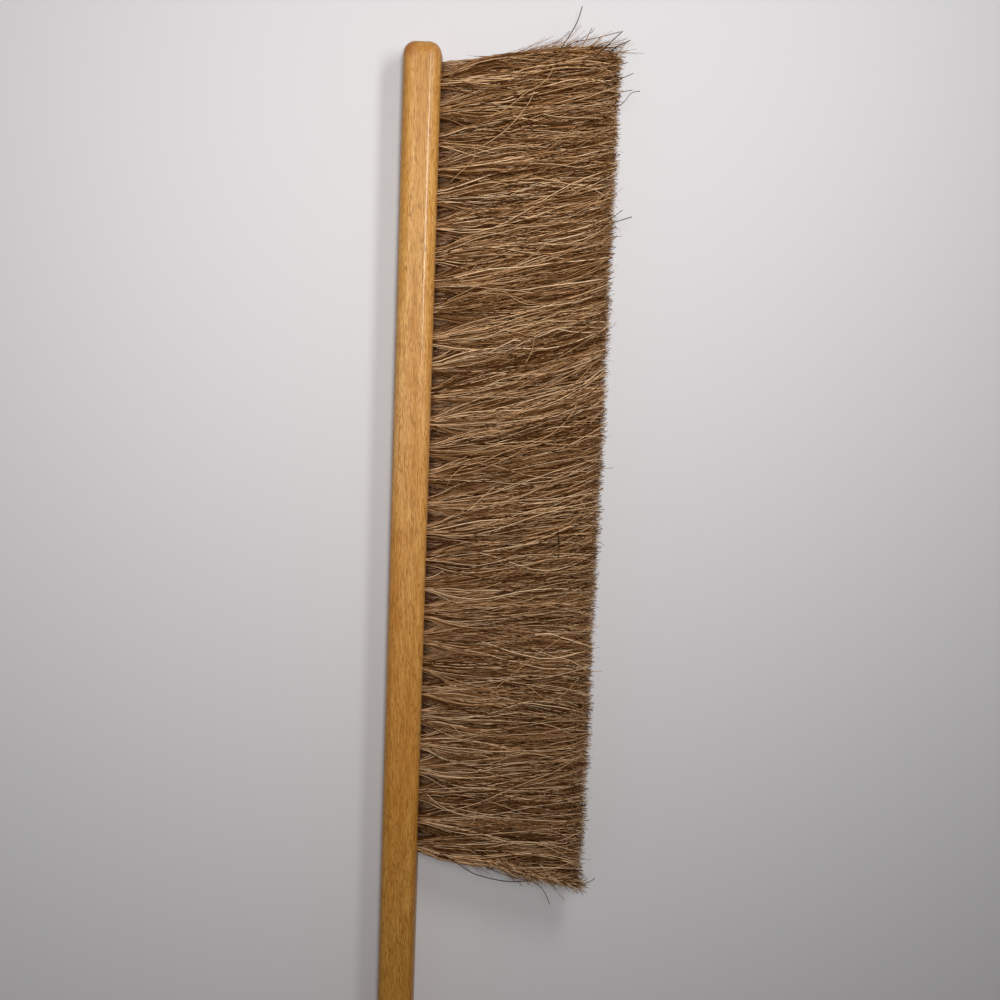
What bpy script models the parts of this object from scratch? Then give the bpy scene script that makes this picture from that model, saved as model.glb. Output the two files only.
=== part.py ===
"""Snow brush: a long beech stick with two staggered rows of horsehair tufts along one face.

The brush lies on its side. +Y runs along the stick to the head end, +X is the way the hair
points and +Z is up. The origin is on the surface that the brush lies on, under the middle of
the stick. Each tuft is hair folded over a flat wire anchor and driven into its own blind hole.
The anchor is wider than the hole, so its ends bite into the wood and hold the tuft.
"""

import math
import random

import bmesh
import bpy
from mathutils import Matrix, Vector

# The stick, in metres
STICK_LENGTH = 0.762
STICK_THICKNESS = 0.019  # from its back to the face that carries the hair
STICK_WIDTH = 0.027  # from side to side, across the two rows
STICK_EDGE_RADIUS = 0.0045
STICK_EDGE_STEPS = 5

# The holes and their rows
TUFTS_PER_ROW = 29
TUFT_PITCH = 0.01425
ROW_SPACING = 0.0105
END_TO_FIRST_HOLE = 0.0117  # from the head end to the lower row's first hole
HOLE_RADIUS = 0.0042
HOLE_DEPTH = 0.0125
HOLE_SIDES = 10
CUT_OVERRUN = 0.002  # how far a cutter stands out of the wood

# The wire anchor at the bottom of each hole
ANCHOR_BITE = 0.0006  # how far each end reaches into the wood
ANCHOR_THICKNESS = 0.0008
ANCHOR_HEIGHT = 0.0020
FOLD_HEIGHT = 0.0012  # hair that passes under the anchor

# The hair
HAIR_TRIM = 0.088  # from the stick's face to the cut tips
LOCKS_PER_TUFT = 7
LOCK_FILL_SHARE = 0.84  # of the room that each lock has
LOCK_TIP_SHARE = 0.90  # a lock narrows this much at its cut end
TIP_RAGGEDNESS = 0.0015  # how far a lock ends short of the trim line or past it
FLARE_ABOVE_STICK = 0.0085  # how far the tips stand above the stick's upper side
KNEE_SHARE = 0.16  # of the trim, where a tuft has spread to fill its pitch
KNEE_RISE_SHARE = 0.30  # of the flare, reached at the knee
LEAN_DEGREES = (-10.0, 3.0, 8.0, 12.0, 12.5, 10.0, 6.0)  # at even steps from the grip to the head end
KNEE_LEAN_SHARE = 0.10  # of the lean, reached at the knee

# Clearances
FIT_CLEARANCE = 0.0003  # round a tuft's root, its anchor and its fold
TUFT_GAP = 0.0008  # between the hair of neighbouring tufts
REST_CLEARANCE = 0.0002  # between the lowest hair and the surface below

# What follows from them
FACE_X = STICK_THICKNESS / 2
HEAD_END_Y = STICK_LENGTH / 2
ROW_MIDDLE_Z = STICK_WIDTH / 2
STAGGER = TUFT_PITCH / 2
ROOT_RADIUS = HOLE_RADIUS - FIT_CLEARANCE
ROOT_DEPTH = HOLE_DEPTH - FIT_CLEARANCE
ANCHOR_REACH = HOLE_RADIUS + ANCHOR_BITE
TIP_TOP_Z = STICK_WIDTH + FLARE_ABOVE_STICK
HEAD_TOP_Y = HEAD_END_Y - END_TO_FIRST_HOLE + STAGGER
HEAD_LENGTH = TUFTS_PER_ROW * TUFT_PITCH + STAGGER

BEECH = ((0.62, 0.33, 0.11), 0.32)
HORSEHAIR = ((0.17, 0.095, 0.045), 0.55)


def clear_scene():
    for obj in list(bpy.data.objects):
        bpy.data.objects.remove(obj, do_unlink=True)


def make_material(name, colour, roughness):
    material = bpy.data.materials.new(name)
    material.use_nodes = True
    shader = material.node_tree.nodes["Principled BSDF"]
    shader.inputs["Base Color"].default_value = (*colour, 1)
    shader.inputs["Roughness"].default_value = roughness
    shader.inputs["Metallic"].default_value = 0
    return material


def add_object(name, bm, material=None):
    """Turns a bmesh into an object of that name in the scene."""
    bmesh.ops.recalc_face_normals(bm, faces=bm.faces)
    mesh = bpy.data.meshes.new(name)
    bm.to_mesh(mesh)
    bm.free()
    obj = bpy.data.objects.new(name, mesh)
    bpy.context.scene.collection.objects.link(obj)
    if material:
        mesh.materials.append(material)
    return obj


def make_helper(obj):
    """A cutter or a joined piece, kept out of the model itself."""
    obj.hide_render = True
    obj.display_type = "WIRE"


def add_boolean(obj, other, operation):
    modifier = obj.modifiers.new(operation.lower(), "BOOLEAN")
    modifier.operation = operation
    modifier.solver = "EXACT"
    modifier.object = other


def hole_places():
    """(row, number, centre) of each hole, from the head end. The centre is on the stick's face."""
    for number in range(TUFTS_PER_ROW):
        lower_y = HEAD_END_Y - END_TO_FIRST_HOLE - number * TUFT_PITCH
        lower_z = ROW_MIDDLE_Z - ROW_SPACING / 2
        yield "lower", number, Vector((FACE_X, lower_y, lower_z))
        yield "upper", number, Vector((FACE_X, lower_y - STAGGER, lower_z + ROW_SPACING))


def add_block(bm, size):
    """A block of that size about the middle of its object."""
    bmesh.ops.create_cube(bm, size=1, matrix=Matrix.Diagonal((*size, 1)))


def hole_outline():
    """The hole's outline: round, with a kerf on each side where the anchor has cut its way down."""
    kerf = ANCHOR_THICKNESS / 2 + FIT_CLEARANCE
    kerf_reach = ANCHOR_REACH + FIT_CLEARANCE
    edge_angle = math.asin(kerf / HOLE_RADIUS)
    facets = HOLE_SIDES // 2
    facet_angle = (math.pi - 2 * edge_angle) / facets
    corner_radius = HOLE_RADIUS / math.cos(facet_angle / 2)
    outline = []
    for side in (1, -1):
        outline.append((side * kerf_reach, -side * kerf))
        outline.append((side * kerf_reach, side * kerf))
        for step in range(facets + 1):
            angle = edge_angle + facet_angle * step
            outline.append((side * corner_radius * math.cos(angle), side * corner_radius * math.sin(angle)))
    return outline


def add_hole_cutters():
    """One prism for each hole, in one object."""
    bm = bmesh.new()
    outline = hole_outline()
    for _, _, centre in hole_places():
        bottom = centre - Vector((HOLE_DEPTH, 0, 0))
        ring = [bm.verts.new(bottom + Vector((0, y, z))) for y, z in outline]
        floor = bm.faces.new(ring)
        walls = bmesh.ops.extrude_face_region(bm, geom=[floor], use_keep_orig=True)
        raised = [v for v in walls["geom"] if isinstance(v, bmesh.types.BMVert)]
        bmesh.ops.translate(bm, verts=raised, vec=(HOLE_DEPTH + CUT_OVERRUN, 0, 0))
    cutters = add_object("tuft_hole_cutters", bm)
    make_helper(cutters)
    return cutters


def add_stick(beech):
    """The stick: one length of beech with all its edges rounded, drilled for the tufts."""
    bm = bmesh.new()
    add_block(bm, (STICK_THICKNESS, STICK_LENGTH, STICK_WIDTH))
    stick = add_object("handle_stick", bm, beech)
    stick.location.z = ROW_MIDDLE_Z
    rounding = stick.modifiers.new("rounded_edges", "BEVEL")
    rounding.width = STICK_EDGE_RADIUS
    rounding.segments = STICK_EDGE_STEPS
    rounding.limit_method = "NONE"
    add_boolean(stick, add_hole_cutters(), "DIFFERENCE")
    stick.data.shade_smooth()
    stick.modifiers.new("flat_faces_shaded_flat", "WEIGHTED_NORMAL")
    return stick


def tip_shift(y):
    """How far hair rooted at y has leant along the stick when it reaches the trim line."""
    from_grip = (y - (HEAD_TOP_Y - HEAD_LENGTH)) / HEAD_LENGTH
    place = min(max(from_grip, 0), 1) * (len(LEAN_DEGREES) - 1)
    step = min(int(place), len(LEAN_DEGREES) - 2)
    blend = place - step
    degrees = LEAN_DEGREES[step] * (1 - blend) + LEAN_DEGREES[step + 1] * blend
    return HAIR_TRIM * math.tan(math.radians(degrees))


def tuft_room(row, centre, share):
    """The lowest and highest (y, z), from the hole's centre, of a tuft's hair at the knee or the tips."""
    at_tips = share == 1
    lean = 1 if at_tips else KNEE_LEAN_SHARE
    rise = 1 if at_tips else KNEE_RISE_SHARE
    ends = []
    for side in (-1, 1):
        edge = side * TUFT_PITCH / 2
        ends.append(edge + lean * tip_shift(centre.y + edge) - side * TUFT_GAP / 2)
    if row == "upper":
        low = ROW_MIDDLE_Z - centre.z + TUFT_GAP / 2
        high = ROOT_RADIUS + rise * (TIP_TOP_Z - centre.z - ROOT_RADIUS)
    else:
        low = -ROOT_RADIUS - rise * (centre.z - REST_CLEARANCE - ROOT_RADIUS)
        high = ROW_MIDDLE_Z - centre.z - TUFT_GAP / 2
    return (ends[0], low), (ends[1], high)


def place_lock(face, directions, room, x, narrow):
    """Moves a lock's newest face to where its share of the tuft's room lies at x."""
    (y_low, z_low), (y_high, z_high) = room
    corners = [Vector((0, 0)), *directions]
    middle = sum(corners, Vector((0, 0))) / len(corners)
    for loop, corner in zip(face.loops, corners):
        spot = middle + (corner - middle) * narrow
        loop.vert.co.x = x
        loop.vert.co.y = (y_low + y_high) / 2 + spot.x * (y_high - y_low) / 2
        loop.vert.co.z = (z_low + z_high) / 2 + spot.y * (z_high - z_low) / 2


def add_anchor(name, centre):
    """The flat wire that the hair is folded over, across the bottom of the hole along the stick."""
    bm = bmesh.new()
    add_block(bm, (ANCHOR_HEIGHT, 2 * ANCHOR_REACH, ANCHOR_THICKNESS))
    anchor = add_object(name + "_anchor", bm)
    anchor.location = centre
    anchor.location.x -= ROOT_DEPTH - FOLD_HEIGHT - ANCHOR_HEIGHT / 2
    make_helper(anchor)
    return anchor


def add_tuft(row, number, centre, horsehair):
    """One tuft about its hole's mouth: the root in the hole, and locks that fan out to the trim line."""
    name = f"tuft_{row}_{number + 1:02d}"
    chance = random.Random(name)
    turn = chance.uniform(0, math.tau)
    angles = [turn + math.tau * k / LOCKS_PER_TUFT for k in range(LOCKS_PER_TUFT + 1)]
    around = [Vector((math.cos(a), math.sin(a))) for a in angles]
    bm = bmesh.new()
    axis = bm.verts.new((0, 0, 0))
    rim = [bm.verts.new(Vector((0, *direction)) * ROOT_RADIUS) for direction in around[:-1]]
    fan = [bm.faces.new((axis, a, b)) for a, b in zip(rim, rim[1:] + rim[:1])]
    edges = [e for e in bm.edges if e.is_boundary]
    root = bmesh.ops.extrude_edge_only(bm, edges=edges)["geom"]
    sunk = [v for v in root if isinstance(v, bmesh.types.BMVert)]
    bmesh.ops.translate(bm, verts=sunk, vec=(-ROOT_DEPTH, 0, 0))
    bmesh.ops.contextual_create(bm, geom=[e for e in root if isinstance(e, bmesh.types.BMEdge)])
    for share, narrow in ((KNEE_SHARE, LOCK_FILL_SHARE), (1, LOCK_FILL_SHARE * LOCK_TIP_SHARE)):
        fan = bmesh.ops.extrude_discrete_faces(bm, faces=fan)["faces"]
        room = tuft_room(row, centre, share)
        for k, face in enumerate(fan):
            ragged = TIP_RAGGEDNESS * chance.uniform(-1, 1) if share == 1 else 0
            place_lock(face, around[k : k + 2], room, share * HAIR_TRIM + ragged, narrow)
    tuft = add_object(name, bm, horsehair)
    tuft.location = centre
    add_boolean(tuft, add_anchor(name, centre), "UNION")
    return tuft


def build():
    clear_scene()
    beech = make_material("lacquered_beech", *BEECH)
    horsehair = make_material("horsehair", *HORSEHAIR)
    stick = add_stick(beech)
    bpy.context.view_layer.update()
    for row, number, centre in hole_places():
        tuft = add_tuft(row, number, centre, horsehair)
        tuft.parent = stick
        tuft.matrix_parent_inverse = stick.matrix_world.inverted()


build()
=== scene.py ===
import math

import bmesh
import bpy
import numpy as np
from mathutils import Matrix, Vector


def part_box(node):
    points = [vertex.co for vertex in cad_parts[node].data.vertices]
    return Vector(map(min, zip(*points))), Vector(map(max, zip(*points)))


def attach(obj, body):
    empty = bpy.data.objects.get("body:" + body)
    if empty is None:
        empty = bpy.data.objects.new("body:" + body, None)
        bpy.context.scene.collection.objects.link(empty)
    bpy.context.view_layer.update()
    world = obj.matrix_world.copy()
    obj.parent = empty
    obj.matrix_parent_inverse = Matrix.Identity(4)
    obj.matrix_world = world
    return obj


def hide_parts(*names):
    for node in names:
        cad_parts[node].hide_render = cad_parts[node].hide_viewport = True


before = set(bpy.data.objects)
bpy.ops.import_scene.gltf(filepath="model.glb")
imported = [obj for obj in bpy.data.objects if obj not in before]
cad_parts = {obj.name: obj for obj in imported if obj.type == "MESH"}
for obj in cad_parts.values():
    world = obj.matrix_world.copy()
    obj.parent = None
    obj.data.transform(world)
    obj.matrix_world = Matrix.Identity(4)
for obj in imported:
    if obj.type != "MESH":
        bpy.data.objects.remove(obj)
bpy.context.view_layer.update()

mm = 0.001
stickLow, stickHigh = (np.array(corner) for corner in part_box("handle_stick"))
faceX = stickHigh[0]          # the side of the stick that carries the hair
headY = stickHigh[1]          # the head end of the stick
trim = 88 * mm                # from the stick's face to the cut tips
tuftNames = sorted(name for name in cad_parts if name.startswith("tuft_"))


# Camera, light and floor

cameraSetup = {
    "place": (42.5 * mm, 268.7 * mm, 791 * mm),
    "turnDegrees": (-8.59, 0.0, 2.164),
    "lensMm": 54.0,
    "sensorMm": 36.0,
}
areaLights = {                # size: across, and along the stick
    "keyLight": {
        "place": (0.222, 0.468, 0.424),
        "size": (0.09, 0.26),
        "power": 0.95,
        "target": (faceX, headY / 2, 0),
        "spreadDegrees": 180,
    },
    "fillLight": {
        "place": (0.08, 0.365, 1.023),
        "size": (0.14, 0.36),
        "power": 1.47,
        "target": (-0.095, 0.329, 0),
        "spreadDegrees": 83.6,             # a narrower cone, as behind a grid
    },
}
skySetup = {
    "colour": (1.0, 0.985, 0.965),
    "strength": 0.15,
}
floorSetup = {
    "side": 6.0,
    "colour": (0.70, 0.685, 0.69),
    "roughness": 0.9,
    "specular": 0.1,
}


def addCamera():
    scene = bpy.context.scene
    data = bpy.data.cameras.new("camera")
    data.sensor_width = cameraSetup["sensorMm"]
    data.lens = cameraSetup["lensMm"]
    camera = bpy.data.objects.new("camera", data)
    scene.collection.objects.link(camera)
    camera.location = cameraSetup["place"]
    camera.rotation_euler = [math.radians(degrees) for degrees in cameraSetup["turnDegrees"]]
    scene.camera = camera
    scene.view_settings.view_transform = "Standard"


# A light shines along its own -Z. It is turned about X by asin(y), then about Y by atan2(-x, -z), with
# (x, y, z) its direction at length 1, and never about Z, so that its second size lies along the stick.

def aimAt(obj, target):
    ahead = np.array(target) - np.array(obj.location)
    tilt = math.asin(ahead[1] / np.linalg.norm(ahead))
    obj.rotation_euler = (tilt, math.atan2(-ahead[0], -ahead[2]), 0)


def addAreaLight(name, place, size, power, target, spreadDegrees):
    data = bpy.data.lights.new(name, "AREA")
    data.shape = "ELLIPSE"
    data.size, data.size_y = size
    data.energy = power
    data.spread = math.radians(spreadDegrees)
    light = bpy.data.objects.new(name, data)
    light.visible_camera = False
    bpy.context.scene.collection.objects.link(light)
    light.location = place
    aimAt(light, target)


def addLights():
    for name, look in areaLights.items():
        addAreaLight(name, **look)
    world = bpy.data.worlds.new("sky")
    world.use_nodes = True
    sky = world.node_tree.nodes["Background"]
    sky.inputs["Color"].default_value = (*skySetup["colour"], 1)
    sky.inputs["Strength"].default_value = skySetup["strength"]
    bpy.context.scene.world = world


def addFloor():               # a square in the plane z = 0, with the origin in its middle
    side = floorSetup["side"] / 2
    mesh = bpy.data.meshes.new("floor")
    corners = [(-side, -side, 0), (side, -side, 0), (side, side, 0), (-side, side, 0)]
    mesh.from_pydata(corners, [], [(0, 1, 2, 3)])
    floor = bpy.data.objects.new("floor", mesh)
    bpy.context.scene.collection.objects.link(floor)
    material, shader = newMaterial("paleFloor", floorSetup["roughness"], floorSetup["specular"])
    shader.inputs["Base Color"].default_value = (*floorSetup["colour"], 1)
    mesh.materials.append(material)


# Materials

def newMaterial(name, roughness, specular):
    material = bpy.data.materials.new(name)
    material.use_nodes = True
    shader = material.node_tree.nodes["Principled BSDF"]
    shader.inputs["Roughness"].default_value = roughness
    shader.inputs["Specular IOR Level"].default_value = specular
    return material, shader


def addNode(material, kind, **settings):
    node = material.node_tree.nodes.new(kind)
    for key, value in settings.items():
        setattr(node, key, value)
    return node


def join(material, source, target):
    material.node_tree.links.new(source, target)


def addRamp(material, source, stops):      # stops are (place, colour), with a grey for one number
    ramp = addNode(material, "ShaderNodeValToRGB")
    for place, colour in stops[1:-1]:
        ramp.color_ramp.elements.new(place)
    for element, (place, colour) in zip(ramp.color_ramp.elements, stops):
        element.position = place
        element.color = (*colour, 1) if isinstance(colour, tuple) else (colour, colour, colour, 1)
    join(material, source, ramp.inputs["Fac"])
    return ramp.outputs["Color"]


def addMix(material, blend, factor, first, second):
    mix = addNode(material, "ShaderNodeMix", data_type="RGBA", blend_type=blend)
    for socket, value in ((mix.inputs[0], factor), (mix.inputs[6], first), (mix.inputs[7], second)):
        if isinstance(value, bpy.types.NodeSocket):
            join(material, value, socket)
        elif isinstance(value, tuple):
            socket.default_value = (*value, 1)
        else:
            socket.default_value = value
    return mix.outputs[2]


def addGrainNoise(material, sizes, detail, offset, turnDegrees):     # sizes: of the grain along X, Y and Z
    coordinates = addNode(material, "ShaderNodeTexCoord")
    mapping = addNode(material, "ShaderNodeMapping", vector_type="TEXTURE")
    mapping.inputs["Scale"].default_value = sizes
    mapping.inputs["Location"].default_value = offset
    mapping.inputs["Rotation"].default_value = (0, 0, math.radians(turnDegrees))
    join(material, coordinates.outputs["Object"], mapping.inputs["Vector"])
    noise = addNode(material, "ShaderNodeTexNoise")
    noise.inputs["Scale"].default_value = 1
    noise.inputs["Detail"].default_value = detail
    join(material, mapping.outputs["Vector"], noise.inputs["Vector"])
    return noise.outputs["Fac"]


# Meshes from arrays

def addMesh(name, points, loops, starts, attributes, bakeMap):
    mesh = bpy.data.meshes.new(name)
    mesh.vertices.add(len(points))
    mesh.vertices.foreach_set("co", np.asarray(points, np.float32).ravel())
    mesh.loops.add(len(loops))
    mesh.loops.foreach_set("vertex_index", np.asarray(loops, np.int32))
    mesh.polygons.add(len(starts))
    mesh.polygons.foreach_set("loop_start", np.asarray(starts, np.int32))
    mesh.update(calc_edges=True)
    mesh.shade_smooth()
    for key, values in attributes.items():
        layer = mesh.attributes.new(key, "FLOAT", "POINT")
        layer.data.foreach_set("value", np.asarray(values, np.float32).ravel())
    layer = mesh.uv_layers.new(name="OFBake")
    layer.data.foreach_set("uv", np.asarray(bakeMap, np.float32).ravel())
    obj = bpy.data.objects.new(name, mesh)
    bpy.context.scene.collection.objects.link(obj)
    return obj


# Hairs as closed tubes. Corner k of a ring stands off its path by
# radius * (cos(a) * across + sin(a) * up), with a = 2 pi k / sides, across = the path's direction x Z
# and up = across x direction. Four-cornered faces join each ring to the next, and a triangle closes each
# end. Each hair has a cell of the bake map to itself, root to tip along V, with the triangle of its root
# at the bottom of the cell and the triangle of its tip at the top.

hairSides = 3
hairCell = {                  # shares of a cell of the bake map
    "inset": 0.04,
    "endHeight": 0.06,
    "endSides": (0.1, 0.5, 0.9),
}


def unit(vectors):
    return vectors / np.maximum(np.linalg.norm(vectors, axis=-1, keepdims=True), 1e-12)


def tubePoints(paths, radii):
    direction = unit(np.gradient(paths, axis=1))
    across = unit(np.cross(direction, (0.0, 0.0, 1.0)))
    up = np.cross(across, direction)
    angle = 2 * math.pi * np.arange(hairSides) / hairSides
    ring = np.cos(angle)[:, None] * across[:, :, None] + np.sin(angle)[:, None] * up[:, :, None]
    return paths[:, :, None] + radii[:, :, None, None] * ring


def tubeLoops(hairs, rings):
    corner = np.arange(hairs * rings * hairSides).reshape(hairs, rings, hairSides)
    turned = np.roll(corner, -1, axis=2)
    walls = np.stack([corner[:, :-1], corner[:, 1:], turned[:, 1:], turned[:, :-1]], axis=-1)
    ends = np.stack([corner[:, 0], corner[:, -1, ::-1]], axis=1)
    loops = np.concatenate([walls.ravel(), ends.ravel()])
    wallStarts = np.arange(walls[..., 0].size) * 4
    endStarts = walls.size + np.arange(2 * hairs) * hairSides
    return loops, np.concatenate([wallStarts, endStarts])


def tubeCells(hairs, rings):
    columns = math.ceil(math.sqrt(hairs))
    rows = math.ceil(hairs / columns)
    hair = np.arange(hairs)
    cell = np.stack([hair % columns, hair // columns], axis=-1)
    inset, height, (left, middle, right) = hairCell["inset"], hairCell["endHeight"], hairCell["endSides"]
    around = (np.arange(hairSides)[:, None] + np.array([0, 0, 1, 1])) / hairSides
    along = (np.arange(rings - 1)[:, None] + np.array([0, 1, 1, 0])) / (rings - 1)
    walls = np.empty((hairs, rings - 1, hairSides, 4, 2))
    walls[..., 0] = around
    walls[..., 1] = height + (1 - 2 * height) * along[:, None]
    rootEnd = [(left, 0), (middle, height), (right, 0)]
    tipEnd = [(left, 1), (middle, 1 - height), (right, 1)]
    ends = np.broadcast_to(np.array([rootEnd, tipEnd]), (hairs, 2, 3, 2))

    def placed(local):
        extra = (slice(None),) + (None,) * (local.ndim - 2)
        return (cell[extra] + inset + (1 - 2 * inset) * local) / np.array([columns, rows])

    return np.concatenate([placed(walls).reshape(-1, 2), placed(ends).reshape(-1, 2)])


def addHairs(name, paths, radii, tone, rootShade=None):   # a tone for each hair, and for each ring a share of painted shade on hidden roots
    hairs, rings = paths.shape[:2]
    points = tubePoints(paths, radii).reshape(-1, 3)
    loops, starts = tubeLoops(hairs, rings)
    span = np.broadcast_to(np.linspace(0, 1, rings)[None, :, None], (hairs, rings, hairSides))
    tones = np.broadcast_to(tone.reshape(hairs, -1, 1), (hairs, rings, hairSides))
    attributes = {"hairTone": tones.ravel(), "hairSpan": span.ravel()}
    if rootShade is not None:
        attributes["hairRootShade"] = np.broadcast_to(rootShade[..., None], (hairs, rings, hairSides)).ravel()
    return addMesh(name, points, loops, starts, attributes, tubeCells(hairs, rings))


def finishHairs(piece, hair):
    piece.data.materials.append(hair)
    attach(piece, "root")


# The tufts. A hair leaves its hole at a place on the root's disc and runs out to the trim line. Along
# the hair, s goes from 0 at the stick's face to 1 at the trim line, and its place along the stick is
#   root * (1 - open(s)) + open(s) * (its place in the tuft, drawn towards its lock's place)
#   + lean * sweep(s) + sway * s^2 + bow * sin(pi s) + twist * sin(2 pi s) + flick * (s^3 - s^2)
#   + ripple * sin(2 pi beat s + phase) * sin(pi s) + the shift of the hair on top * sweep(s)
# with open(s) = 1 - exp(-(s / knee)^openPower), which keeps a tuft together near its hole, and
# sweep(s) = (1 - bend) * s + bend * s^2, which bends the hair a little more towards its tip.
# Its height is the same sum without the shift, and with rise(s), a share of open(s) and the rest of s,
# for open(s) and sweep(s). The lower row's has rootLift * l * exp(1 - l) more, with l = s / liftReach.
# Pairs of lengths are along the stick, and up.

tuftSetup = {
    "hairs": 350,
    "rings": 13,
    "firstSeed": 100,
    "hairRadius": 0.185 * mm,
    "hairRadiusSpread": 0.33,
    "tipTaper": 0.6,
    "measured": (0.1 * mm, 4 * mm),        # how much of a solid tuft's root and tips is read for its size
    "sink": 3 * mm,           # how far a hair starts inside its hole
    "rootFill": 0.9,          # how much of the root's radius the hairs take
    "knee": (0.23, 0.12),     # where a tuft has opened along the stick, and up, as shares of the trim
    "openPower": 1.4,
    "stiffSpread": 0.2,       # how much hairs differ in where they open
    "soonestBelow": 0.75,     # the share of the knee at which the lowest hair opens
    "bend": 0.15,
    "onTop": (0.5, 0.7),      # how much a hair lies on top: halfway up the tuft, and more towards its top
    "spread": 1.25,           # how far a tuft's tips reach into its neighbours' room
    "meet": 0.35,             # how much further the rows reach towards each other than their room
    "locks": 18,              # clumps that a tuft's hairs gather in
    "lockRoom": 0.95,         # how far from a tuft's middle a lock's place may be, with its edge at 1
    "lockPull": 0.18,
    "lockSway": (1.3 * mm, 0.4 * mm),
    "hairSway": (3.8 * mm, 1.3 * mm),
    "strays": (2.6, 5),       # how rare hairs are that sway far, where less gives more, and the furthest
    "lockBow": (0.9 * mm, 0.3 * mm),
    "hairBow": (2.6 * mm, 1.5 * mm),
    "hairTwist": (2.2 * mm, 1.3 * mm),
    "lockFlick": (4 * mm, 1.0 * mm),
    "hairFlick": (13 * mm, 3 * mm),
    "ripple": 0.6 * mm,
    "rippleBeats": (2, 4.5),               # fewest and most waves along a hair
    "ragged": (1.5 * mm, 0.9 * mm),        # how unevenly hairs and locks are cut
    "cut": (-1.1 * mm, 2.5 * mm),          # a hair's end from the trim line, and how far past it at most
    "pastEdge": 0.6,          # how much of what passes the head's edges may stay, before it is squared
    "edgeSpread": 1.6 * mm,   # how deep the head's edges are, from the outermost hair inwards
    "fray": (2.5 * mm, 4 * mm, 15 * mm),   # how far tips stray at the head's top and bottom, and how far in
    "frayStart": (0.4, 0.9),  # the first and last place along a hair where its tip may begin to stray
    "frayPower": 2.5,         # more leaves fewer tips that stray far
    "liftReach": 0.06,        # where the lower row's lift is highest, as a share of the trim
    "liftFrom": 0.4,          # how much of the lift a hair halfway up its tuft has
    "floorGap": 0.45 * mm,
    "tones": (0.09, 0.47, 0.89),
    "toneSpread": 0.15,
    "lockToneSpread": 0.025,
    "darkest": 0.08,
    "rootShade": (0.94, 0.22),   # how much hidden roots take the painted root shade, and over what share of the trim
    "rootShadeFade": 1.6,        # how fast this painted shade ends from the lowest hair to the hair on top
    "heightSteps": 6,         # places between two rings that the head's height is read at
}
tuftRows = {                  # what differs between the row nearest the viewer and the row behind it
    "upper": {
        "onTop": 1.0,
        "risePower": 1.0,
        "riseAtOnce": 0.35,   # the share of its rise that a hair makes near the stick
        "rootLift": 0.0,
        "inward": -1,
        "toneShares": (0.37, 0.37, 0.26),
    },
    "lower": {
        "onTop": 0.3,
        "risePower": 0.5,
        "riseAtOnce": 0.85,
        "rootLift": 6 * mm,   # how its hair rises between the upper row's roots
        "inward": 1,
        # more light tones than the upper row: painted light on the row that lies in the upper row's shade
        "toneShares": (0.2, 0.45, 0.35),
    },
}
surfaceSweep = {              # the hair on top: its tips' shift and flick in mm; and painted light and shade, in hundredths of tone, for all of a tuft's hairs
    "places": (-40, -20, 0, 15, 32, 50, 66, 78, 88, 98, 125, 160, 185, 205, 225, 260, 305, 325, 345, 375),
    "shift": (8, 13, 11, 6, -4, -10, -11, -10, -2, 3, -1, -1, 0, 6, 0, -2, -2, -6, -2, 0),
    "flick": (-1, -3, 0, 2, 4, -4, -8, -9, -1, 4, -1, -2, 5, 3, 4, 2, 1, -4, -7, -4),
    "paintedLightTone": (6, 6, 6, 6, 6, 5, 7, 10, 10, 7, -4, -7, -3, -1, -2, -6, -3, -3, -4, -3),
}
headEdges = {                 # the edges of the whole head along the hair
    "spans": (0.0, 0.18, 0.36, 0.54, 0.68, 0.81, 0.97, 1.0),             # as shares of the trim
    "top": (372.5, 374.0, 376.0, 377.8, 378.6, 377.8, 375.8, 375.0),     # mm along the stick
    "bottom": (-41.3, -42.2, -43.2, -44.4, -46.9, -48.9, -51.0, -51.7),
    "above": (23.0, 28.3, 31.5, 33.3, 34.6, 35.2, 35.8, 36.0),           # mm above the floor
}
hairLook = {
    "colours": (              # by a hair's tone
        (0.00, (0.024, 0.013, 0.008)),
        (0.08, (0.080, 0.026, 0.005)),
        (0.28, (0.196, 0.081, 0.023)),
        (0.52, (0.398, 0.199, 0.080)),
        (0.78, (0.692, 0.407, 0.198)),
        (1.00, (0.980, 0.690, 0.420)),
    ),
    "paintedRootShade": (0.075, 0.027, 0.025),               # painted shade of the hidden roots between the tufts
    # painted shade at the root, in and just outside its hole, and darker towards the tip
    "shadeRootToTip": ((0.0, 0.9), (0.08, 1.0), (0.85, 1.0), (1.0, 0.85)),
    "roughness": 0.45,
    "specular": 0.16,
    "specularTint": (1.0, 0.74, 0.48),
}


def makeHairMaterial():
    material, shader = newMaterial("brownHorsehair", hairLook["roughness"], hairLook["specular"])
    tone, span, rootShade = [addNode(material, "ShaderNodeAttribute", attribute_name=name).outputs["Fac"]
                          for name in ("hairTone", "hairSpan", "hairRootShade")]
    colour = addRamp(material, tone, hairLook["colours"])
    # hidden roots get a dark colour: painted shade between the tufts
    colour = addMix(material, "MIX", rootShade, colour, hairLook["paintedRootShade"])
    shade = addRamp(material, span, hairLook["shadeRootToTip"])
    join(material, addMix(material, "MULTIPLY", 1.0, colour, shade), shader.inputs["Base Color"])
    shader.inputs["Specular Tint"].default_value = (*hairLook["specularTint"], 1)
    return material


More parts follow.
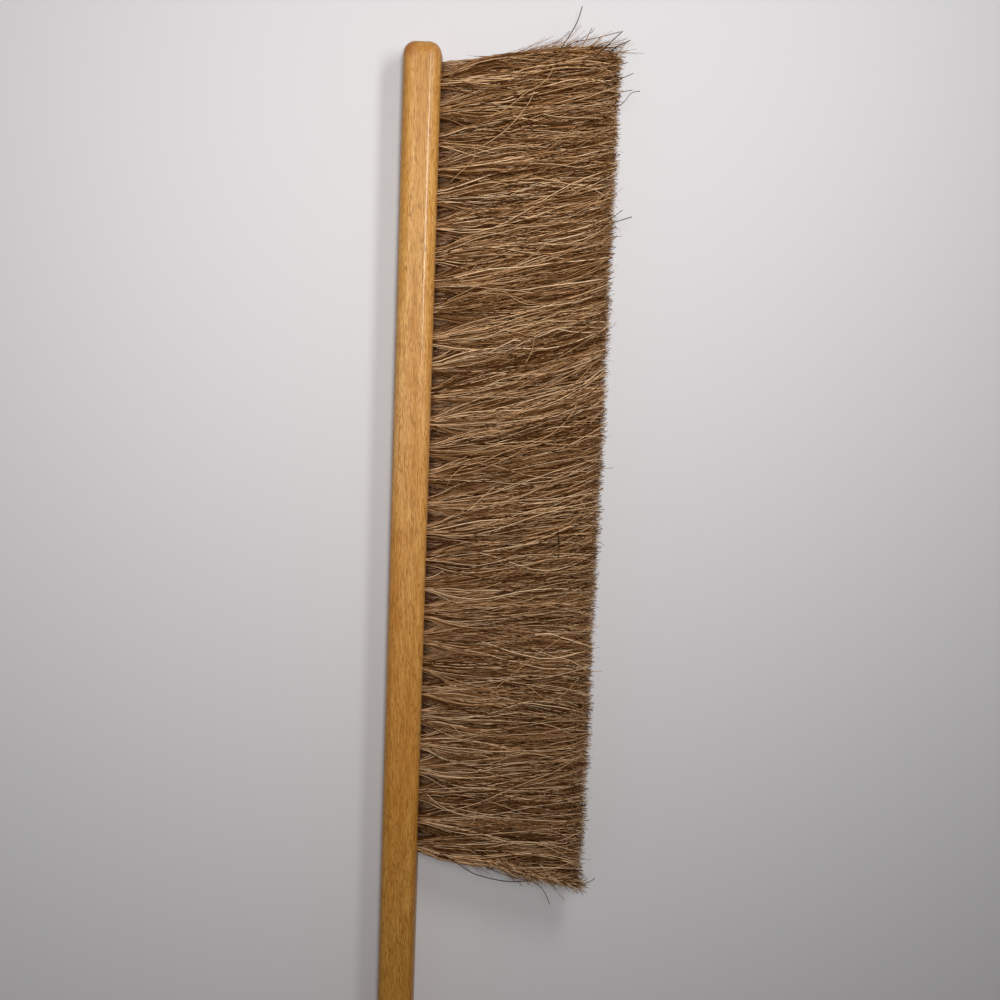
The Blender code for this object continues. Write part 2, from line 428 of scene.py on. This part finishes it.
def readTuft(name):           # a solid tuft's root centre and radius, and the room at its tips, as (y, z)
    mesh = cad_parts[name].data
    points = np.empty(len(mesh.vertices) * 3, np.float32)
    mesh.vertices.foreach_get("co", points)
    points = points.reshape(-1, 3).astype(float)
    x = points[:, 0]
    rootDepth, tipDepth = tuftSetup["measured"]
    root = np.unique(np.round(points[x < x.min() + rootDepth, 1:], 6), axis=0)
    tips = points[x > x.max() - tipDepth, 1:]
    centre = root.mean(axis=0)
    radius = np.linalg.norm(root - centre, axis=1).max()
    return centre, radius, tips.min(axis=0), tips.max(axis=0)


def sweepAt(key, y):
    return np.interp(y / mm, surfaceSweep["places"], surfaceSweep[key])


def placeHairs(random):       # places on the root's disc, the same in a square of half side 1, and the locks
    count = tuftSetup["hairs"]
    angle = random.uniform(0, 2 * math.pi, count)
    reach = np.sqrt(random.uniform(0, 1, count))
    disc = np.stack([reach * np.cos(angle), reach * np.sin(angle)], axis=-1)
    square = disc / np.maximum(np.abs(disc).max(axis=1), 1e-6)[:, None] * reach[:, None]
    room = tuftSetup["lockRoom"]
    lockPlace = random.uniform(-room, room, (tuftSetup["locks"], 2))
    lock = np.linalg.norm(square[:, None] - lockPlace[None], axis=2).argmin(axis=1)
    return disc, square, lockPlace, lock


def perHair(random, lock, lockSize, hairSize):         # normal * hairSize, and its lock's normal * lockSize
    own = random.normal(0, 1, (len(lock), 2)) * hairSize
    return own + (random.normal(0, 1, (lock.max() + 1, 2)) * lockSize)[lock]


def cutLengths(random, lock):              # evenly from each root to its cut tip, as shares of the trim
    hairSpread, lockSpread = tuftSetup["ragged"]
    end, limit = tuftSetup["cut"]
    cut = random.normal(0, hairSpread, len(lock)) + random.normal(0, lockSpread, tuftSetup["locks"])[lock]
    length = 1 + np.minimum(end + cut, limit) / trim
    return np.linspace(-tuftSetup["sink"] / trim, 1, tuftSetup["rings"]) * length[:, None]


def withinHead(paths, s, share, inset):    # of what passes the head's edges, less the inset, a share stays
    top, bottom, above = [np.interp(s, headEdges["spans"], headEdges[key]) * mm
                          for key in ("top", "bottom", "above")]
    y, z = paths[..., 1], paths[..., 2]
    past = np.clip(y - top + inset * s, 0, None) + np.clip(y - bottom - inset * s, None, 0)
    paths[..., 1] = y - past * (1 - share)
    paths[..., 2] = z - np.clip(z - above + inset * s / 2, 0, None) * (1 - share)
    paths[..., 2] = np.maximum(paths[..., 2], tuftSetup["floorGap"])


# Near an end of the head, a tip bends outwards by amount * ((s - start) / (1 - start))^2. The amount
# falls to nothing over the fray's depth, and is large for only a few tips.

def fray(paths, s, random):
    upwards, downwards, depth = tuftSetup["fray"]
    top, bottom = headEdges["top"][-1] * mm, headEdges["bottom"][-1] * mm
    tip = paths[:, -1, 1]
    nearTop = np.clip(1 - (top - tip) / depth, 0, 1)
    nearBottom = np.clip(1 - (tip - bottom) / depth, 0, 1)
    start = random.uniform(*tuftSetup["frayStart"], (len(paths), 1))
    far = random.uniform(0, 1, len(paths)) ** tuftSetup["frayPower"]
    amount = (upwards * nearTop - downwards * nearBottom) * far
    paths[..., 1] += amount[:, None] * np.clip((s - start) / (1 - start), 0, None) ** 2


def hairTones(random, lock, row, y):       # one of three tones, plus a change for its hair and lock, and painted light and shade by its place along the stick
    look = tuftSetup
    count = len(lock)
    tone = random.choice(look["tones"], count, p=row["toneShares"])
    tone += random.normal(0, look["toneSpread"], count)
    tone += random.normal(0, look["lockToneSpread"], look["locks"])[lock]
    # painted light: lighter towards the grip end of the head, where less light falls, and darker in places
    # towards the head end
    tone += sweepAt("paintedLightTone", y) / 100
    return np.clip(tone, look["darkest"], 1)


def tuftHairs(name, random):
    look = tuftSetup
    count, rings = look["hairs"], look["rings"]
    row = tuftRows["upper" if "upper" in name else "lower"]
    centre, radius, tipLow, tipHigh = readTuft(name)
    disc, square, lockPlace, lock = placeHairs(random)
    half = (tipHigh - tipLow) / 2 * (look["spread"], 1.0)
    lean = (tipLow + tipHigh) / 2 - centre
    place = cutLengths(random, lock)
    s = np.clip(place, 0, None)
    middle, more = look["onTop"]
    onTop = np.clip(middle + more * square[:, 1], 0, 1) * row["onTop"]
    soonest = look["soonestBelow"] + (1 - look["soonestBelow"]) * onTop
    stiff = (np.exp(random.normal(0, look["stiffSpread"], count)) * soonest)[:, None]
    opened, risen = [1 - np.exp(-(s / (knee * stiff)) ** look["openPower"]) for knee in look["knee"]]
    rise = row["riseAtOnce"] * risen ** row["risePower"] + (1 - row["riseAtOnce"]) * s
    sweep = (1 - look["bend"]) * s + look["bend"] * s * s
    pull = look["lockPull"] * np.sin(math.pi * np.clip(s, 0, 1)) ** 0.5
    freedom, limit = look["strays"]
    tails = np.clip(random.standard_t(freedom, (count, 1)), -limit, limit)
    sway = perHair(random, lock, look["lockSway"], 0) + tails * look["hairSway"]
    bow = perHair(random, lock, look["lockBow"], look["hairBow"])
    twist = random.normal(0, 1, (count, 2)) * look["hairTwist"]
    flick = perHair(random, lock, look["lockFlick"], look["hairFlick"])
    flick[:, 0] += sweepAt("flick", centre[0]) * mm * onTop
    shift = sweepAt("shift", centre[0]) * mm * onTop
    phase = random.uniform(0, 2 * math.pi, (count, 1))
    beat = random.uniform(*look["rippleBeats"], (count, 1))
    arc = np.sin(math.pi * s)
    full = np.sin(2 * math.pi * s)
    wave = look["ripple"] * random.normal(0, 1, (count, 1)) * np.sin(2 * math.pi * beat * s + phase) * arc
    paths = np.empty((count, rings, 3))
    paths[..., 0] = faceX + place * trim
    for axis, opening, slope, meet in ((0, opened, sweep, 0), (1, rise, rise, look["meet"])):
        own, shared = square[:, axis, None], lockPlace[lock, axis, None]
        spot = (own * (1 - pull) + shared * pull) * half[axis]
        spot = spot * (1 + meet * np.clip(row["inward"] * own, 0, 1))
        line = centre[axis] + look["rootFill"] * radius * disc[:, axis, None] * (1 - opening) + spot * opening
        line = line + lean[axis] * slope + sway[:, axis, None] * s * s + bow[:, axis, None] * arc
        line = line + twist[:, axis, None] * full + flick[:, axis, None] * (s ** 3 - s ** 2) + wave
        paths[..., 1 + axis] = line
    paths[..., 1] += shift[:, None] * sweep
    lifted = s / look["liftReach"]
    lift = row["rootLift"] * np.clip(look["liftFrom"] + square[:, 1:], 0, 1)
    paths[..., 2] += lift * lifted * np.exp(1 - lifted)
    share = random.uniform(0, look["pastEdge"], (count, 1)) ** 2
    withinHead(paths, s, share, np.abs(random.normal(0, look["edgeSpread"], (count, 1))))
    fray(paths, s, random)
    thick = look["hairRadius"] * np.exp(random.normal(0, look["hairRadiusSpread"], count))
    radii = np.repeat(thick[:, None], rings, axis=1)
    radii[:, -1] *= look["tipTaper"]
    tone = hairTones(random, lock, row, centre[0])
    # painted shade on the hidden roots, strongest at the stick and on the lowest hairs
    amount, over = look["rootShade"]
    hidden = np.clip(1 - look["rootShadeFade"] * onTop[:, None], 0, 1)
    return paths, radii, tone, amount * hidden * np.exp(-(s / over) ** 2)


def addTufts(hair):           # one piece for each tuft, and all their hairs' places for the head's height
    places = []
    steps = np.linspace(0, 1, tuftSetup["heightSteps"], endpoint=False)[:, None, None, None]
    for number, name in enumerate(tuftNames):
        random = np.random.default_rng(tuftSetup["firstSeed"] + number)
        paths, radii, tone, rootShade = tuftHairs(name, random)
        piece = addHairs(name.replace("tuft", "hair"), paths, radii, tone, rootShade)
        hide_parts(name)
        finishHairs(piece, hair)
        places.append((paths[:, :-1] * (1 - steps) + paths[:, 1:] * steps).reshape(-1, 3))
    return np.concatenate(places)


# Loose hairs that lie on the tufts, each through a few points (mm from the stick's middle line, and
# along it), and wisps that leave the edges of the head. A loose hair lies on the highest hair below it,
# and comes down from there no steeper than its slope. Along a wisp, t goes from -hidden inside the head
# to 1 at its tip: it is a straight line of its length * t, plus curl * length * t * |t| to its left.

looseHairs = (                # tone, then the points
    (0.02, (68, 379), (70, 382), (76, 393), (78, 400)),
    (0.03, (86, 376), (89, 379), (98, 388)),
    (0.03, (91, 377), (95, 380), (102, 384)),
    (0.45, (76, 375), (78, 379), (83, 389)),
    (0.10, (70, 380), (76, 384), (81, 385), (98, 390)),
    (0.05, (90, 371), (94, 372), (98, 372), (101, 373)),
    (0.05, (90, 362), (96, 364), (100, 366), (104, 368)),
    (0.05, (90, 357), (94, 358), (99, 359), (104, 360)),
    (0.15, (92, 346), (96, 351), (100, 354), (104, 359), (108, 360)),
    (0.03, (90, 294), (98, 296), (107, 299)),
    (0.08, (90, 291), (94, 295), (97, 298), (102, 302)),
    (0.80, (65, 370), (63, 365), (59, 361), (52, 357), (45, 351), (37, 346), (29, 345)),
    (0.85, (56, 358), (54, 353), (49, 346), (44, 340), (38, 335), (30, 330)),
    (0.70, (27, 331), (28, 327), (24, 321), (18, 315), (16, 313)),
    (0.90, (61, 347), (69, 346), (78, 346), (90, 346)),
    (0.90, (57, 323), (68, 323), (80, 322), (88, 324)),
    (0.60, (79, 344), (71, 336), (64, 330), (58, 324)),
    (0.75, (65, 284), (58, 278), (52, 274), (41, 269)),
    (0.65, (34, 276), (30, 272), (26, 267), (21, 263)),
    (0.75, (39, 260), (44, 260), (51, 256), (56, 254), (66, 255)),
    (0.70, (61, 237), (60, 231), (57, 224)),
    (0.70, (12, 230), (27, 229), (44, 226), (50, 226)),
    (0.65, (91, 225), (85, 218), (79, 212), (70, 208)),
    (0.80, (84, 206), (82, 201), (75, 192), (65, 185), (48, 179), (37, 173), (29, 171), (21, 164), (19, 159)),
    (0.85, (95, 206), (90, 203), (83, 200)),
    (0.85, (44, 161), (37, 154), (30, 147)),
    (0.70, (91, 155), (87, 148), (81, 143), (70, 139), (59, 135)),
    (0.02, (77, 140), (78, 134), (78, 126)),
    (0.95, (53, 125), (69, 127), (82, 128), (96, 128)),
    (0.85, (11, 105), (26, 105), (38, 107), (49, 111)),
    (0.70, (83, 85), (69, 74), (52, 58), (44, 50)),
    (0.95, (66, 77), (76, 74), (86, 72), (95, 67)),
    (0.75, (64, 58), (77, 50), (86, 56), (91, 62)),
    (0.60, (87, 53), (91, 52), (94, 49), (93, 44)),
    (0.95, (11, 49), (19, 50), (30, 50), (40, 49)),
    (0.92, (30, 37), (46, 37), (59, 37), (75, 37), (86, 34)),
    (0.85, (13, 34), (21, 34), (27, 32), (31, 28)),
    (0.98, (27, -14), (42, -8), (55, -1), (69, 6), (80, 11)),
    (0.85, (80, 11), (87, 16), (95, 22)),
    (1.00, (14, -6), (20, -11), (27, -14), (35, -16), (46, -15)),
    (0.90, (40, -13), (40, -17), (39, -20)),
    (0.95, (45, -33), (62, -29), (75, -28), (89, -27)),
    (0.02, (22, -38), (30, -42), (40, -49), (49, -52), (58, -54), (73, -54)),
    (0.05, (44, -42), (54, -47), (66, -51), (75, -54), (79, -59), (82, -66)),
    (0.05, (88, -49), (95, -50), (102, -50), (105, -48)),
)
wispGroups = (                # count, x and y from and to, angle, length, curl and tone each with its spread,
    # radius and depth: along the top edge, over the top corner and beside it, along the bottom edge, at the
    # bottom corner, and out of the cut tips
    (30, (28, 62), (374.5, 379.0), (10, 3), (13, 4), (0.05, 0.1), (0.35, 0.2), 0.12, 6),
    (210, (46, 88), (378.0, 376.5), (18, 8), (14, 5), (0.0, 0.15), (0.42, 0.25), 0.12, 6),
    (40, (80, 93), (355, 376), (25, 18), (7, 3), (0.0, 0.2), (0.3, 0.2), 0.12, 6),
    (50, (28, 62), (-42.5, -45.0), (-14, 5), (12, 4), (0.1, 0.15), (0.3, 0.2), 0.12, 6),
    (900, (52, 93), (-44.0, -50.3), (-30, 9), (7.5, 2.5), (-0.15, 0.25), (0.55, 0.38), 0.155, 4),
    (420, (90, 95), (-50, 376), (8, 26), (5, 1.8), (0.0, 0.3), (0.38, 0.28), 0.13, 6),
)
looseSetup = {
    "rings": 14,
    "radius": 0.23 * mm,
    "darkTone": 0.04,         # hairs darker than this are thick, the others thin
    "thick": 1.2,
    "thin": 0.9,
    "lift": 0.5 * mm,         # above the hair below
    "slope": 0.15,
}
wispSetup = {                 # lengths in mm, as in the groups
    "seed": 7,
    "rings": 14,
    "scatter": 1.3,
    "edgeLength": 20,         # a group that is shorter along the stick follows an edge
    "shortest": 2,
    "hidden": 0.8,
    "above": 0.7,             # how far a wisp may stand above the hair at its start
    "lowest": 4,
    "tilt": 1,
    "radiusSpread": 0.25,
    "tipTaper": 0.7,
}
heightSetup = {               # the grid that holds the highest hair of each cell
    "cell": 1.5 * mm,
    "margin": 8,              # cells
    "lowest": 6 * mm,
}


def surfaceHeight(points):    # the highest point in each cell, smoothed over the cells beside it
    cell, margin = heightSetup["cell"], heightSetup["margin"]
    low = points[:, :2].min(axis=0) - margin * cell
    size = np.ceil((points[:, :2].max(axis=0) - low) / cell).astype(int) + margin
    height = np.full(size, heightSetup["lowest"])
    place = ((points[:, :2] - low) / cell).astype(int)
    np.maximum.at(height, (place[:, 0], place[:, 1]), points[:, 2])
    for axis in (0, 1):
        height = (np.roll(height, 1, axis) + 2 * height + np.roll(height, -1, axis)) / 4

    def at(x, y):
        column = np.clip(((x - low[0]) / cell).astype(int), 0, size[0] - 1)
        row = np.clip(((y - low[1]) / cell).astype(int), 0, size[1] - 1)
        return height[column, row]

    return at


def throughPoints(points, rings):          # between two points, the cubic that has the slopes at both
    points = np.array(points, float)
    knots = np.concatenate([[0], np.cumsum(np.linalg.norm(np.diff(points, axis=0), axis=1))])
    slopes = np.gradient(points, knots, axis=0)
    along = np.linspace(0, knots[-1], rings)
    span = np.clip(np.searchsorted(knots, along, side="right") - 1, 0, len(knots) - 2)
    width = (knots[span + 1] - knots[span])[:, None]
    t = (along - knots[span])[:, None] / width
    start, end = points[span], points[span + 1]
    line = start * (1 + 2 * t) * (1 - t) ** 2 + end * t * t * (3 - 2 * t)
    return line + width * t * (1 - t) * (slopes[span] * (1 - t) - slopes[span + 1] * t)


def addLooseHairs(hair, heightAt):
    look = looseSetup
    flat = np.stack([throughPoints(points, look["rings"]) for tone, *points in looseHairs]) * mm
    height = heightAt(flat[..., 0], flat[..., 1]) + look["lift"]
    apart = np.linalg.norm(flat[:, :, None] - flat[:, None], axis=-1)
    height = (height[:, None] - look["slope"] * apart).max(axis=-1)
    paths = np.concatenate([flat, height[..., None]], axis=2)
    tone = np.array([line[0] for line in looseHairs])
    thickness = np.where(tone < look["darkTone"], look["thick"], look["thin"])
    radii = np.full(paths.shape[:2], look["radius"]) * thickness[:, None]
    finishHairs(addHairs("loose_hairs", paths, radii, tone), hair)


def wisps(random, heightAt, count, spanX, spanY, angle, length, curl, tone, radius, depth):
    look = wispSetup
    share = random.uniform(0, 1, count)
    along = share if spanY[1] - spanY[0] < look["edgeLength"] else random.uniform(0, 1, count)
    startX = spanX[0] + share * (spanX[1] - spanX[0])
    startY = spanY[0] + along * (spanY[1] - spanY[0]) + random.normal(0, look["scatter"], count)
    start = np.stack([startX, startY], axis=1)
    turn = np.radians(random.normal(*angle, count))
    reach = np.clip(random.normal(*length, count), look["shortest"], None)
    curl = random.normal(*curl, count) * np.sign(angle[0])
    t = np.linspace(-look["hidden"], 1, look["rings"])
    ahead = np.stack([np.cos(turn), np.sin(turn)], axis=1)
    left = np.stack([-np.sin(turn), np.cos(turn)], axis=1)
    flat = start[:, None] + reach[:, None, None] * (t[:, None] * ahead[:, None])
    flat = flat + (reach * curl)[:, None, None] * (t * np.abs(t))[:, None] * left[:, None]
    top = heightAt(*start.T * mm) / mm + look["above"] - np.abs(random.normal(0, depth, count))
    tilt = random.normal(0, look["tilt"], count)
    rise = np.clip(top, look["lowest"], None)[:, None] + tilt[:, None] * t
    paths = np.concatenate([flat, rise[..., None]], axis=2) * mm
    thick = radius * mm * np.exp(random.normal(0, look["radiusSpread"], count))
    radii = thick[:, None] * np.linspace(1, look["tipTaper"], len(t))
    return paths, radii, np.clip(random.normal(*tone, count), 0, 1)


def addWisps(hair, heightAt):
    random = np.random.default_rng(wispSetup["seed"])
    groups = [wisps(random, heightAt, *group) for group in wispGroups]
    paths, radii, tone = [np.concatenate(parts) for parts in zip(*groups)]
    finishHairs(addHairs("edge_wisps", paths, radii, tone), hair)


# The stick. A ring of its section is the rectangle that lies one edge radius inside the stick, pushed
# out by that radius times cos(t), and moved along the stick by the corner radius times sin(t), so that
# t from 0 to 90 degrees rounds each end. Its two sides come in by a further (corner radius - edge
# radius) * (1 - cos(t)), which gives the ends their rounder corners as seen from above. Beside each
# rounding, one more row of points lies on the flat, so that smooth shading leaves the flat flat.

stickSetup = {
    "edgeRadius": 5.2 * mm,
    "cornerRadius": 6.2 * mm,              # of the ends' corners, seen from above
    "edgeSteps": 9,
    "endSteps": 10,
    "flatStart": 0.5 * mm,                 # from a rounding to the row of points on the flat
    "ringGap": 9 * mm,
    "mergeDistance": 0.01 * mm,
    "sharpDegrees": 40,
    "bakeRows": 3,                         # the stick's length is cut in so many rows of its bake map,
    "bakeRoom": 0.92,                      # which take this share of its height,
    "bakeMargin": 0.01,                    # and the two ends lie above them
    "bakeFill": (0.98, 0.94),              # of a row, along and across
    "rowSlack": 0.01,                      # a ring that stands just before a row's start is in that row
    "endPlaces": ((0.02, 0.94), (0.32, 0.94)),
    "endSize": 0.08,
}


def stickSurface():
    radius, corner, steps = stickSetup["edgeRadius"], stickSetup["cornerRadius"], stickSetup["edgeSteps"]
    low, high = stickLow + radius, stickHigh - radius
    flatStart = stickSetup["flatStart"]
    turn = np.concatenate([[0], np.linspace(0, math.pi / 2, steps), [math.pi / 2]])
    slide = np.zeros((steps + 2, 1))
    slide[[0, -1], 0] = -flatStart, flatStart
    corners = ((high[0], high[2]), (low[0], high[2]), (low[0], low[2]), (high[0], low[2]))
    angle = np.concatenate([turn + quarter * math.pi / 2 for quarter in range(4)])
    outward = np.stack([np.cos(angle), np.sin(angle)], axis=-1)
    onward = np.stack([-np.sin(angle), np.cos(angle)], axis=-1)
    inner = np.repeat(np.array(corners), steps + 2, axis=0) + np.tile(slide, (4, 1)) * onward
    endTurn = np.linspace(math.pi / 2, 0, stickSetup["endSteps"])
    startY, endY = stickLow[1] + corner, stickHigh[1] - corner
    middle = np.linspace(startY, endY, int((endY - startY) / stickSetup["ringGap"]))[1:-1]
    middle = np.concatenate([[startY + flatStart], middle, [endY - flatStart]])
    along = np.concatenate([startY - corner * np.sin(endTurn), middle, endY + corner * np.sin(endTurn[::-1])])
    push = np.concatenate([np.cos(endTurn), np.ones(len(middle)), np.cos(endTurn[::-1])])
    points = np.empty((len(along), len(angle), 3))
    points[..., 0] = inner[:, 0] + radius * push[:, None] * outward[:, 0]
    points[..., 0] -= np.sign(inner[:, 0]) * (corner - radius) * (1 - push[:, None])
    points[..., 1] = along[:, None]
    points[..., 2] = inner[:, 1] + radius * push[:, None] * outward[:, 1]
    return points


def stickCells(points):       # the bake map: lengths along and around, cut in rows, and the two ends
    look = stickSetup
    rings, around = points.shape[:2]
    middle = points[rings // 2]
    girth = np.linalg.norm(np.roll(middle, -1, axis=0) - middle, axis=1)
    across = np.concatenate([[0], np.cumsum(girth)]) / girth.sum()
    reach = np.linalg.norm(np.diff(points[:, 0], axis=0), axis=1)
    along = np.concatenate([[0], np.cumsum(reach)]) / reach.sum()
    rows, margin = look["bakeRows"], look["bakeMargin"]
    row = np.minimum((along[:-1] * rows + look["rowSlack"]).astype(int), rows - 1)
    firsts = along[[np.argmax(row == number) for number in range(rows)] + [-1]]
    longest = np.diff(firsts).max()
    first, second = (along[:-1] - firsts[row]) / longest, (along[1:] - firsts[row]) / longest
    fillAlong, fillAcross = look["bakeFill"]
    height = look["bakeRoom"] / rows
    lowEdge, highEdge = across[:-1], across[1:]
    cells = np.empty((rings - 1, around, 4, 2))
    cells[..., 0] = margin + fillAlong * np.stack([first, second, second, first], axis=-1)[:, None]
    cells[..., 1] = fillAcross * height * np.stack([lowEdge, lowEdge, highEdge, highEdge], axis=-1)[None]
    cells[..., 1] += (margin + row * height)[:, None, None]
    ends = []
    for ring, place in zip((points[0], points[-1, ::-1]), look["endPlaces"]):
        flat = (ring[:, [0, 2]] - ring[:, [0, 2]].min(axis=0))[:, ::-1]
        ends.append(flat / flat.max() * look["endSize"] + place)
    return np.concatenate([cells.reshape(-1, 2), *ends])


def addStick():
    points = stickSurface()
    rings, around = points.shape[:2]
    corner = np.arange(rings * around).reshape(rings, around)
    turned = np.roll(corner, -1, axis=1)
    walls = np.stack([corner[:-1], corner[1:], turned[1:], turned[:-1]], axis=-1)
    ends = np.stack([corner[0], corner[-1, ::-1]])
    loops = np.concatenate([walls.ravel(), ends.ravel()])
    starts = np.concatenate([np.arange(walls[..., 0].size) * 4, walls.size + np.array([0, around])])
    piece = addMesh("stick", points.reshape(-1, 3), loops, starts, {}, stickCells(points))
    bm = bmesh.new()
    bm.from_mesh(piece.data)
    bmesh.ops.remove_doubles(bm, verts=bm.verts, dist=stickSetup["mergeDistance"])
    bmesh.ops.recalc_face_normals(bm, faces=bm.faces)
    bm.to_mesh(piece.data)
    bm.free()
    piece.data.shade_smooth()
    piece.data.set_sharp_from_angle(angle=math.radians(stickSetup["sharpDegrees"]))
    piece.data.materials.append(makeBeechMaterial())
    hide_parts("handle_stick")
    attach(piece, "root")


beechLook = {
    "roughness": 0.5,
    "specular": 0.15,
    "coat": 0.18,
    "coatRoughness": 0.15,
    "grains": {               # size along X, Y and Z, detail, place, and turn in degrees
        "broad": ((4 * mm, 120 * mm, 4 * mm), 2, (0.1, 0.2, 0.3), 1),
        "fine": ((0.5 * mm, 14 * mm, 0.5 * mm), 3, (0.7, 0.3, 0.5), 3),
        "fleck": ((0.32 * mm, 3.2 * mm, 0.32 * mm), 0, (0.2, 0.9, 0.4), 3),
        "patch": ((2.2 * mm, 9 * mm, 2.2 * mm), 2, (0.5, 0.1, 0.8), 3),
    },
    "plain": ((0.30, (0.54, 0.245, 0.053)), (0.50, (0.605, 0.302, 0.080)), (0.70, (0.66, 0.352, 0.111))),
    "streaks": ((0.32, (0.78, 0.66, 0.46)), (0.50, (1.0, 1.0, 1.0)), (0.68, (1.14, 1.20, 1.32))),
    "flecks": ((0.0, 0.0), (0.51, 0.0), (0.63, 0.92), (1.0, 0.97)),
    "patches": ((0.35, 0.35), (0.62, 1.0)),              # where the flecks are fewer
    "fleckColour": (0.35, 0.145, 0.030),
    "shadeAndSheenReach": (-0.10, 0.40),                          # the first and last place along the stick of the painted shade and sheen below
    # painted light and shade along the stick: darker towards the grip end, where the light falls off, with a
    # painted sheen about halfway from the middle to the head end
    "tones": (
        (0.0, (0.77, 0.71, 0.41)), (0.19, (0.86, 0.78, 0.54)), (0.38, (0.95, 0.90, 0.78)),
        (0.50, (1.01, 1.01, 1.05)), (0.60, (1.04, 1.07, 1.24)), (0.71, (0.97, 0.97, 0.94)),
        (0.82, (0.99, 1.0, 0.94)), (0.96, (0.91, 0.92, 0.93))),
    "stainColour": (0.36, 0.110, 0.035),
    "stains": (               # at the head end's corners: place from its middle, radius and strength
        ((-6.0 * mm, -4.2 * mm, 26 * mm), 5.5 * mm, 0.8),
        ((7.4 * mm, -4.5 * mm, 25 * mm), 5 * mm, 0.35)),
    "stainEdge": ((0.0, 1.0), (0.5, 0.6), (1.0, 0.0)),   # a stain's strength from its middle to its edge
}


def addStain(material, colour, objectPlace, place, radius, strength):
    distance = addNode(material, "ShaderNodeVectorMath", operation="DISTANCE")
    distance.inputs[1].default_value = (place[0], headY + place[1], place[2])
    join(material, objectPlace, distance.inputs[0])
    spread = addNode(material, "ShaderNodeMapRange")
    spread.inputs["From Max"].default_value = radius
    join(material, distance.outputs["Value"], spread.inputs["Value"])
    stops = [(at, strength * amount) for at, amount in beechLook["stainEdge"]]
    stain = addRamp(material, spread.outputs["Result"], stops)
    return addMix(material, "MIX", stain, colour, beechLook["stainColour"])


def makeBeechMaterial():
    look = beechLook
    material, shader = newMaterial("lacqueredBeech", look["roughness"], look["specular"])
    broad, fine, fleck, patch = [addGrainNoise(material, *look["grains"][name])
                                 for name in ("broad", "fine", "fleck", "patch")]
    colour = addRamp(material, broad, look["plain"])
    colour = addMix(material, "MULTIPLY", 1.0, colour, addRamp(material, fine, look["streaks"]))
    mask = addRamp(material, fleck, look["flecks"])
    mask = addMix(material, "MULTIPLY", 1.0, mask, addRamp(material, patch, look["patches"]))
    colour = addMix(material, "MIX", mask, colour, look["fleckColour"])
    objectPlace = addNode(material, "ShaderNodeTexCoord").outputs["Object"]
    split = addNode(material, "ShaderNodeSeparateXYZ")
    join(material, objectPlace, split.inputs["Vector"])
    # painted shade and sheen by place along the stick
    reach = addNode(material, "ShaderNodeMapRange")
    reach.inputs["From Min"].default_value, reach.inputs["From Max"].default_value = look["shadeAndSheenReach"]
    join(material, split.outputs["Y"], reach.inputs["Value"])
    tones = addRamp(material, reach.outputs["Result"], look["tones"])
    colour = addMix(material, "MULTIPLY", 1.0, colour, tones)
    for place, radius, strength in look["stains"]:
        colour = addStain(material, colour, objectPlace, place, radius, strength)
    join(material, colour, shader.inputs["Base Color"])
    shader.inputs["Coat Weight"].default_value = look["coat"]
    shader.inputs["Coat Roughness"].default_value = look["coatRoughness"]
    return material


addCamera()
addLights()
addFloor()
print("camera, lights and floor are set")
addStick()
print("the stick is made")
hairMaterial = makeHairMaterial()
allHairs = addTufts(hairMaterial)
print("the tufts are made:", len(tuftNames))
hairTop = surfaceHeight(allHairs)
addLooseHairs(hairMaterial, hairTop)
addWisps(hairMaterial, hairTop)
print("the loose hairs and wisps are made")
